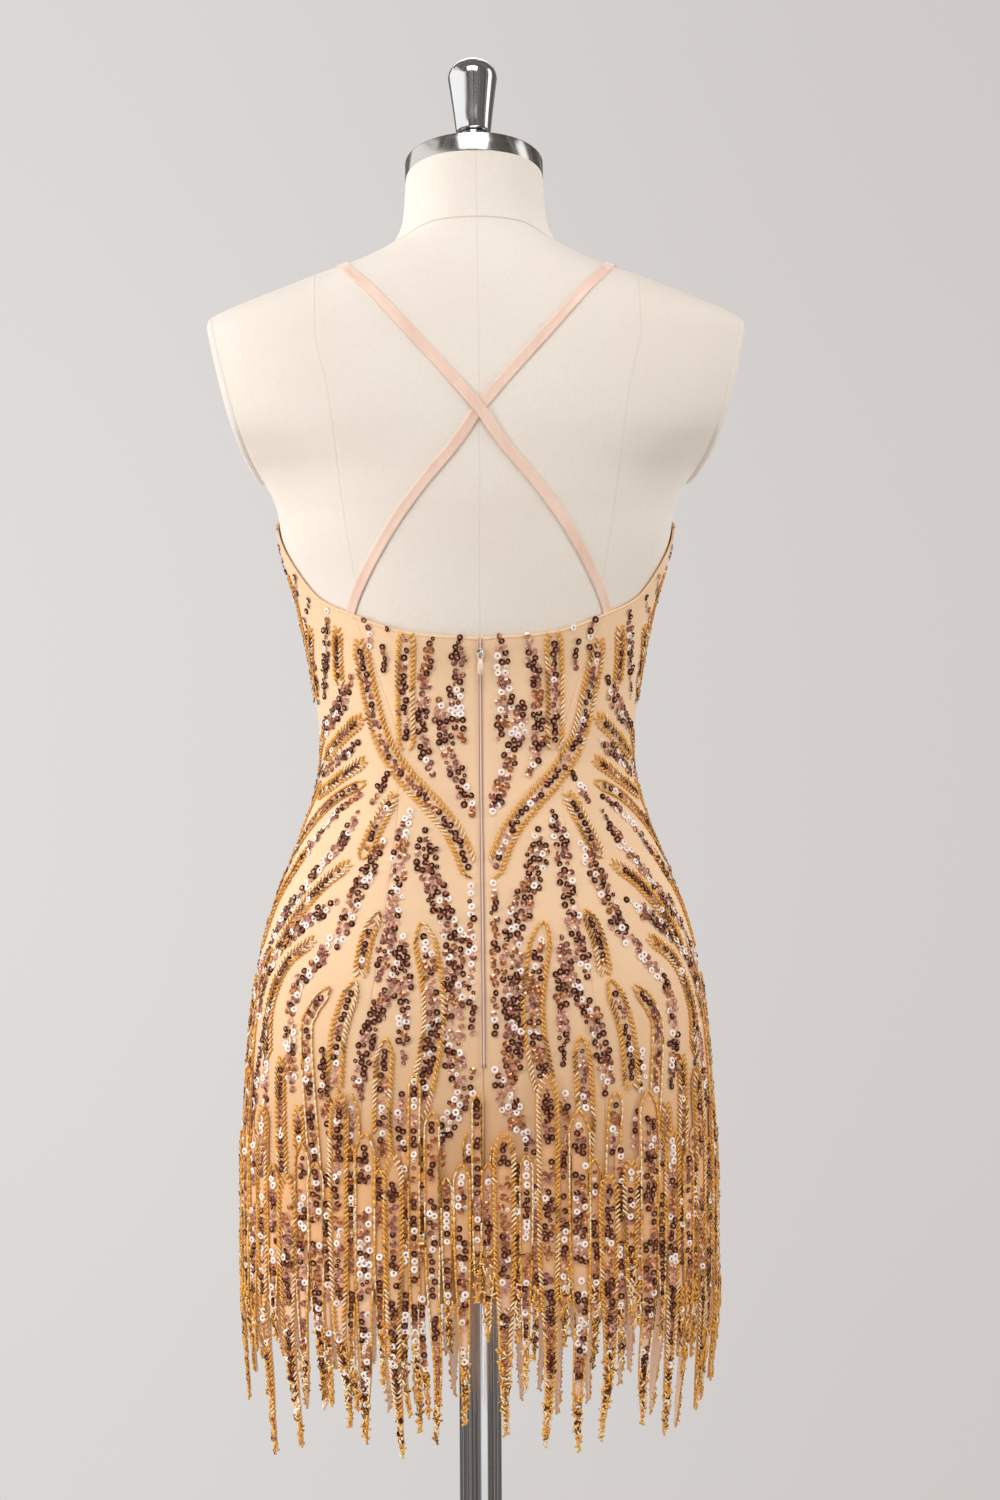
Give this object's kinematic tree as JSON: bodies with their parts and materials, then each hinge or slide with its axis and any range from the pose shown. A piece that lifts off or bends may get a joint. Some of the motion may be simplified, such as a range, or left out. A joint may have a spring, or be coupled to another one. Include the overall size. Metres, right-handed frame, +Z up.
{
  "type": "beaded bodycon dress on a limbless dress form with stand",
  "caption": "Short close-fitting beaded dress with crossed back straps, a centre back zip and a fringed hem, worn on a dress form on a round-based pole.",
  "frame": {"origin": "on the floor under the middle of the stand's base, which is the middle of the part's box", "axes": "+Z up along the pole; the dress's front faces -Y and its zip faces +Y; +X is the wearer's left"},
  "size_m": [0.3956, 0.36, 1.5589],
  "materials": {
    "form_linen": "cream linen cover, stretched smooth",
    "neck_cap_steel": "brushed round the neck",
    "stand_chrome": "polished",
    "dress_cloth": "nude lining under fine net, sewn with beads and sequins",
    "strap_satin": "pale pink satin",
    "zip_tape": "mauve grey tape",
    "zip_metal": "pale plated metal",
    "zip_pull_enamel": "beige enamel",
    "fringe_beads": "glass and plastic beads and sequins on net strips"
  },
  "bodies": {
    "dress_on_form": {"form_torso": "form_linen", "form_arm_plate_left": "form_linen", "form_arm_plate_right": "form_linen", "form_neck_cap": "neck_cap_steel", "form_finial": "stand_chrome", "form_pole": "stand_chrome", "form_base": "stand_chrome", "dress_centre_back_left": "dress_cloth", "dress_centre_back_right": "dress_cloth", "dress_side_back_left": "dress_cloth", "dress_side_back_right": "dress_cloth", "dress_front": "dress_cloth", "strap_left": "strap_satin", "strap_right": "strap_satin", "zip_coil": "zip_tape", "zip_slider": "zip_metal", "fringe_back_left": "fringe_beads", "fringe_back_right": "fringe_beads", "fringe_front_left": "fringe_beads", "fringe_front_right": "fringe_beads"},
    "zip_pull": {"zip_pull": "zip_pull_enamel"}
  },
  "joints": [
    {"name": "zip_pull_swing", "type": "hinge", "parent": "dress_on_form", "child": "zip_pull", "pos_m": [0, 0.09581, 1.10637], "axis": [1, 0, 0], "range_deg": [0, 150]}
  ]
}
